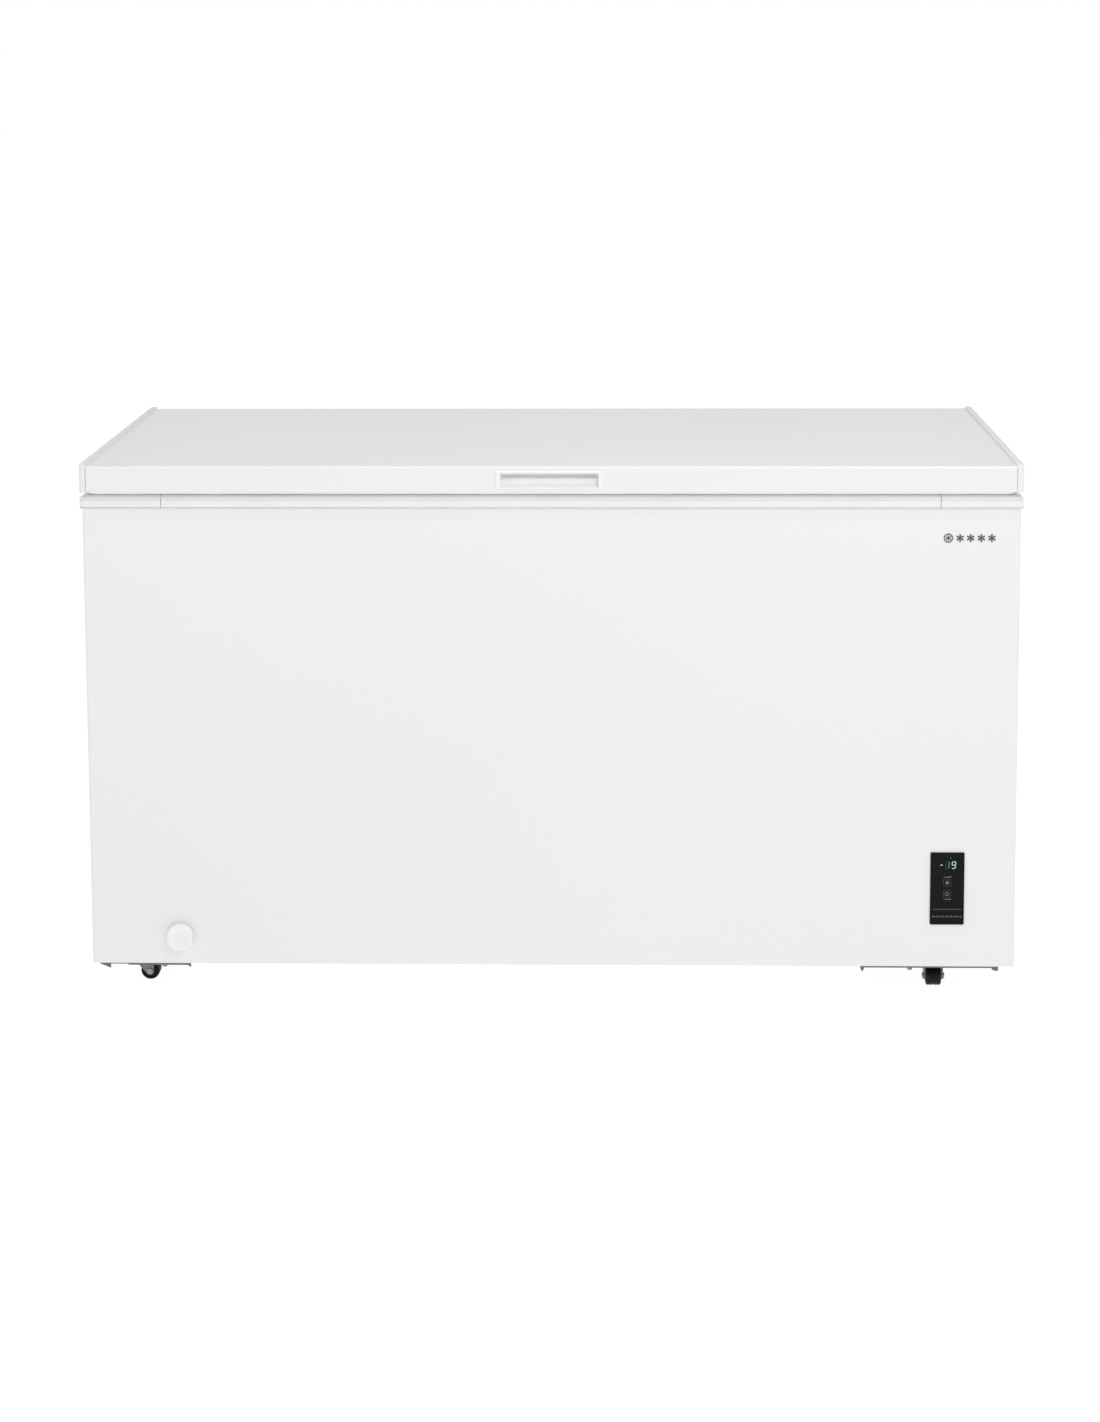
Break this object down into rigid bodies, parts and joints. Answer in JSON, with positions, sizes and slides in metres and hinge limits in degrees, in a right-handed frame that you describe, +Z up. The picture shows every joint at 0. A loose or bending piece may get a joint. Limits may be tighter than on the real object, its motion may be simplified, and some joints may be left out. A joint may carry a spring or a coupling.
{
  "type": "chest freezer",
  "caption": "Long white chest freezer: hinged insulated lid with a recessed grip, foam-insulated tub, black control panel, front drain dial and swivel casters.",
  "frame": {"origin": "on the floor under the middle of the overall box", "axes": "+X to the right along the length, +Y to the hinge side at the back, +Z up; the front faces -Y"},
  "size_m": [1.473, 0.74, 0.85],
  "materials": {
    "white_enamel": "satin",
    "lid_enamel": "satin",
    "galvanised_sheet": "satin",
    "rail_zinc": "satin",
    "liner_aluminium": "matte",
    "coil_tube": "satin",
    "foam": "matte",
    "white_plastic": "satin",
    "handle_plastic": "satin",
    "liner_plastic": "satin",
    "gasket": "matte",
    "drain_grey": "matte",
    "dial_plastic": "satin",
    "plug_rubber": "matte",
    "fascia_black": "gloss",
    "display_smoke": "gloss",
    "key_black": "gloss",
    "housing_black": "matte",
    "board_green": "satin",
    "grille_plastic": "satin",
    "compressor_black": "gloss",
    "grommet_rubber": "matte",
    "copper": "satin",
    "hinge_steel": "satin",
    "bright_zinc": "satin",
    "fork_zinc": "satin",
    "wheel_black": "satin",
    "basket_wire": "satin"
  },
  "bodies": {
    "cabinet": {"outer_wrapper": "white_enamel", "rear_cover": "white_enamel", "rear_panel": "galvanised_sheet", "bottom_pan": "galvanised_sheet", "machine_bulkhead": "galvanised_sheet", "base_rail": "rail_zinc", "compressor_base": "rail_zinc", "inner_liner": "liner_aluminium", "evaporator_coil": "coil_tube", "condenser_coil": "coil_tube", "insulation_foam": "foam", "collar_strips": "white_plastic", "collar_corners": "white_plastic", "drain_pipe": "drain_grey", "drain_fitting": "dial_plastic", "control_fascia": "fascia_black", "display_window": "display_smoke", "control_housing": "housing_black", "control_board": "board_green", "side_grille": "grille_plastic", "cable_gland": "housing_black", "compressor_shell": "compressor_black", "compressor_feet": "compressor_black", "compressor_grommets": "grommet_rubber", "starter_box": "housing_black", "refrigerant_tubes": "copper", "filter_drier": "copper", "hinge_brackets": "hinge_steel", "hinge_pins": "bright_zinc", "hinge_springs": "bright_zinc", "rear_screws": "bright_zinc", "base_bolts": "bright_zinc", "caster_plates": "fork_zinc"},
    "lid": {"lid_skin": "lid_enamel", "lid_cap_left": "white_plastic", "lid_cap_right": "white_plastic", "lid_foam": "foam", "lid_liner": "liner_plastic", "lid_gasket": "gasket", "lid_handle": "handle_plastic", "hinge_leaves": "hinge_steel", "leaf_screws": "bright_zinc"},
    "drain_spout": {"drain_spout": "drain_grey"},
    "drain_dial": {"drain_dial": "dial_plastic"},
    "drain_plug": {"drain_plug": "plug_rubber"},
    "mode_key": {"mode_key": "key_black"},
    "power_key": {"power_key": "key_black"},
    "basket": {"wire_basket": "basket_wire"},
    "fork_front_left": {"caster_fork_front_left": "fork_zinc", "caster_axle_front_left": "bright_zinc"},
    "wheel_front_left": {"caster_wheel_front_left": "wheel_black"},
    "fork_front_right": {"caster_fork_front_right": "fork_zinc", "caster_axle_front_right": "bright_zinc"},
    "wheel_front_right": {"caster_wheel_front_right": "wheel_black"},
    "fork_rear_left": {"caster_fork_rear_left": "fork_zinc", "caster_axle_rear_left": "bright_zinc"},
    "wheel_rear_left": {"caster_wheel_rear_left": "wheel_black"},
    "fork_rear_right": {"caster_fork_rear_right": "fork_zinc", "caster_axle_rear_right": "bright_zinc"},
    "wheel_rear_right": {"caster_wheel_rear_right": "wheel_black"}
  },
  "joints": [
    {"name": "basket_slide", "type": "slide", "parent": "cabinet", "child": "basket", "axis": [1, 0, 0], "range_m": [0, 1.046]},
    {"name": "drain_dial_turn", "type": "hinge", "parent": "drain_spout", "child": "drain_dial", "pos_m": [-0.591, -0.37, 0.0907], "axis": [0, -1, 0], "range_deg": [0, 180]},
    {"name": "drain_plug_lift", "type": "slide", "parent": "cabinet", "child": "drain_plug", "axis": [0, 0, 1], "range_m": [0, 0.04]},
    {"name": "drain_spout_pull", "type": "slide", "parent": "cabinet", "child": "drain_spout", "axis": [0, -1, 0], "range_m": [0, 0.018]},
    {"name": "key_mode_press", "type": "slide", "parent": "cabinet", "child": "mode_key", "axis": [0, 1, 0], "range_m": [0, 0.0008], "stiffness_N_per_m": 400},
    {"name": "key_power_press", "type": "slide", "parent": "cabinet", "child": "power_key", "axis": [0, 1, 0], "range_m": [0, 0.0008], "stiffness_N_per_m": 400},
    {"name": "lid_hinge", "type": "hinge", "parent": "cabinet", "child": "lid", "pos_m": [0, 0.359, 0.806], "axis": [-1, 0, 0], "range_deg": [0, 85]},
    {"name": "swivel_front_left", "type": "hinge", "parent": "cabinet", "child": "fork_front_left", "pos_m": [-0.669, -0.29, 0.0375], "axis": [0, 0, 1], "continuous": true},
    {"name": "wheel_front_left", "type": "hinge", "parent": "fork_front_left", "child": "wheel_front_left", "pos_m": [-0.65, -0.29, 0.015], "axis": [0, 1, 0], "continuous": true},
    {"name": "swivel_front_right", "type": "hinge", "parent": "cabinet", "child": "fork_front_right", "pos_m": [0.61, -0.29, 0.0375], "axis": [0, 0, 1], "continuous": true},
    {"name": "wheel_front_right", "type": "hinge", "parent": "fork_front_right", "child": "wheel_front_right", "pos_m": [0.61, -0.309, 0.015], "axis": [1, 0, 0], "continuous": true},
    {"name": "swivel_rear_left", "type": "hinge", "parent": "cabinet", "child": "fork_rear_left", "pos_m": [-0.669, 0.274, 0.0375], "axis": [0, 0, 1], "continuous": true},
    {"name": "wheel_rear_left", "type": "hinge", "parent": "fork_rear_left", "child": "wheel_rear_left", "pos_m": [-0.65344, 0.2849, 0.015], "axis": [-0.5736, 0.8192, 0], "continuous": true},
    {"name": "swivel_rear_right", "type": "hinge", "parent": "cabinet", "child": "fork_rear_right", "pos_m": [0.61, 0.274, 0.0375], "axis": [0, 0, 1], "continuous": true},
    {"name": "wheel_rear_right", "type": "hinge", "parent": "fork_rear_right", "child": "wheel_rear_right", "pos_m": [0.59355, 0.2835, 0.015], "axis": [-0.5, -0.866, 0], "continuous": true}
  ]
}
